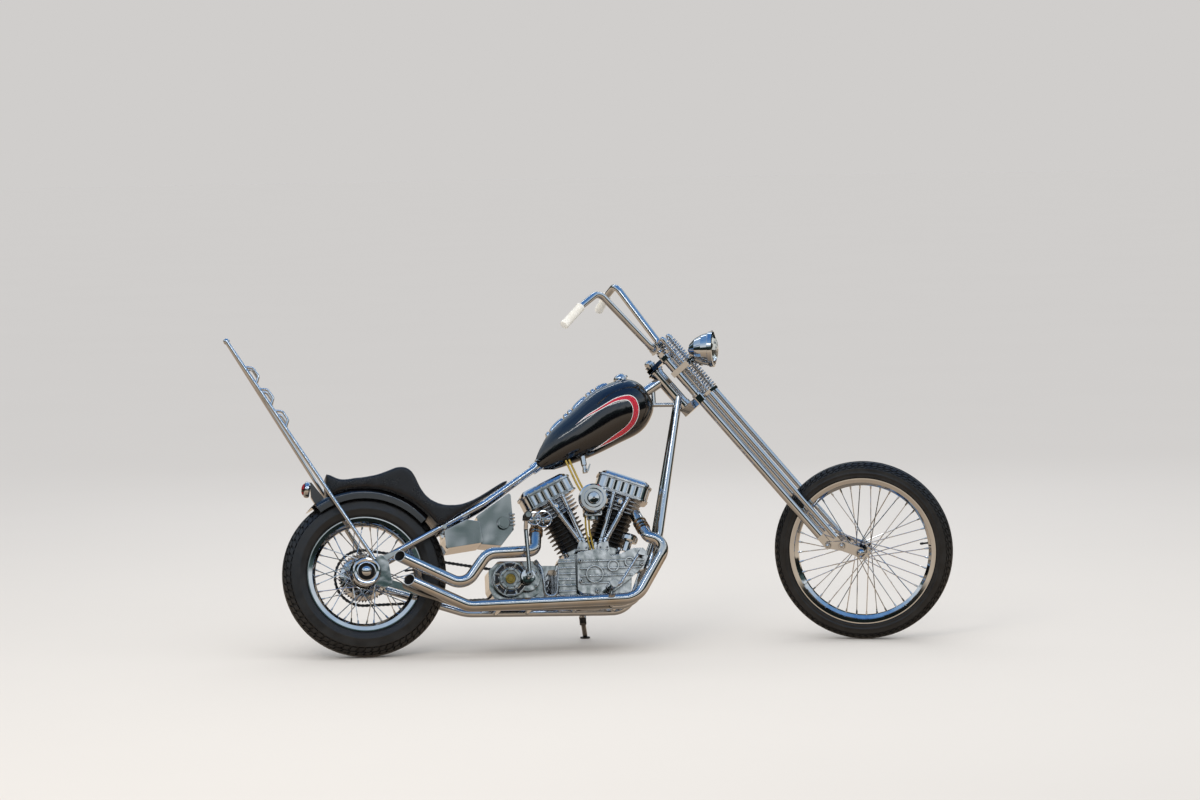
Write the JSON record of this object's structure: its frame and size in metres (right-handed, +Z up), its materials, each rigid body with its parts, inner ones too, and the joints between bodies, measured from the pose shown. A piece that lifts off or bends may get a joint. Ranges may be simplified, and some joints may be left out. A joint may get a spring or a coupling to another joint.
{
  "type": "chopper motorcycle",
  "caption": "Rigid-frame chopper motorcycle with long springer fork, V-twin engine, small tank, low seat and tall sissy bar, parked on its side stand.",
  "frame": {"origin": "middle of the bounding box, at the ground", "axes": "+X from the rear wheel towards the front wheel along the ground, +Y to the rider's left, +Z up; the bike leans to +Y on its side stand"},
  "size_m": [2.7336, 0.8657, 1.3582],
  "materials": {
    "chrome": "mirror-bright chrome plate",
    "polished_aluminium": "hand-polished cast aluminium",
    "cast_iron": "plain cast fins, silver grey",
    "black_paint": "gloss black enamel with red and white scallop lines on the tank",
    "black_steel": "oiled dark steel",
    "black_leather": "soft black leather, tufted",
    "tyre_rubber": "matt black rubber",
    "white_rubber": "ribbed pale rubber",
    "lamp_glass": "clear fluted glass",
    "red_lens": "clear red moulding",
    "brass": "bright brass fittings and yellow line",
    "black_rubber": "ribbed black rubber"
  },
  "bodies": {
    "chassis": {"air_cleaner": "chrome", "axle_plates": "chrome", "cam_cover": "polished_aluminium", "carburettor": "polished_aluminium", "crankcase": "polished_aluminium", "cylinder_heads": "polished_aluminium", "cylinders": "cast_iron", "drive_chain": "black_steel", "exhaust_front_header": "chrome", "exhaust_front_tail": "chrome", "exhaust_rear_header": "chrome", "exhaust_rear_tail": "chrome", "foot_controls": "chrome", "foot_pegs": "black_rubber", "frame_backbone": "chrome", "frame_cross_members": "chrome", "frame_downtubes": "chrome", "frame_lower_rails": "chrome", "frame_upper_stays": "chrome", "fuel_lines": "brass", "fuel_tank": "black_paint", "gearbox": "polished_aluminium", "generator": "black_steel", "kick_lever": "chrome", "oil_tank": "chrome", "oil_tank_cap": "chrome", "primary_cover": "polished_aluminium", "pushrod_tubes": "chrome", "rear_axle": "chrome", "rear_fender": "black_paint", "rocker_covers": "chrome", "seat": "black_leather", "sissy_bar": "chrome", "tail_lamp": "red_lens", "tank_cap": "chrome", "tappet_blocks": "polished_aluminium", "timer": "chrome"},
    "rear_wheel": {"rear_tyre": "tyre_rubber", "rear_rim": "chrome", "rear_hub": "chrome", "rear_brake_drum": "black_steel", "rear_sprocket": "chrome"},
    "steering": {"fork_trees": "chrome", "fork_rear_legs": "chrome", "fork_front_legs": "chrome", "fork_springs": "chrome", "spring_yoke": "chrome", "fork_rockers": "chrome", "front_axle": "chrome", "handlebar": "chrome", "risers": "chrome", "grips": "white_rubber", "headlamp_shell": "chrome", "headlamp_lens": "lamp_glass", "headlamp_bracket": "chrome"},
    "front_wheel": {"front_tyre": "tyre_rubber", "front_rim": "chrome", "front_hub": "chrome"},
    "side_stand": {"side_stand": "chrome"}
  },
  "joints": [
    {"name": "rear_wheel_spin", "type": "hinge", "parent": "chassis", "child": "rear_wheel", "pos_m": [-0.86919, -0.17545, 0.30239], "axis": [-0.0002, -0.9694, 0.2453], "continuous": true},
    {"name": "steering_turn", "type": "hinge", "parent": "chassis", "child": "steering", "pos_m": [0.33471, -0.00838, 0.96341], "axis": [-0.6243, 0.1917, 0.7573], "range_deg": [-10.7, 59.3]},
    {"name": "front_wheel_spin", "type": "hinge", "parent": "steering", "child": "front_wheel", "pos_m": [1.04006, -0.2313, 0.3429], "axis": [-0.3216, -0.9465, -0.0255], "continuous": true},
    {"name": "side_stand_fold", "type": "hinge", "parent": "chassis", "child": "side_stand", "pos_m": [-0.03105, -0.10428, 0.08685], "axis": [0.003, 0.4836, 0.8753], "range_deg": [0, 100.9]}
  ]
}
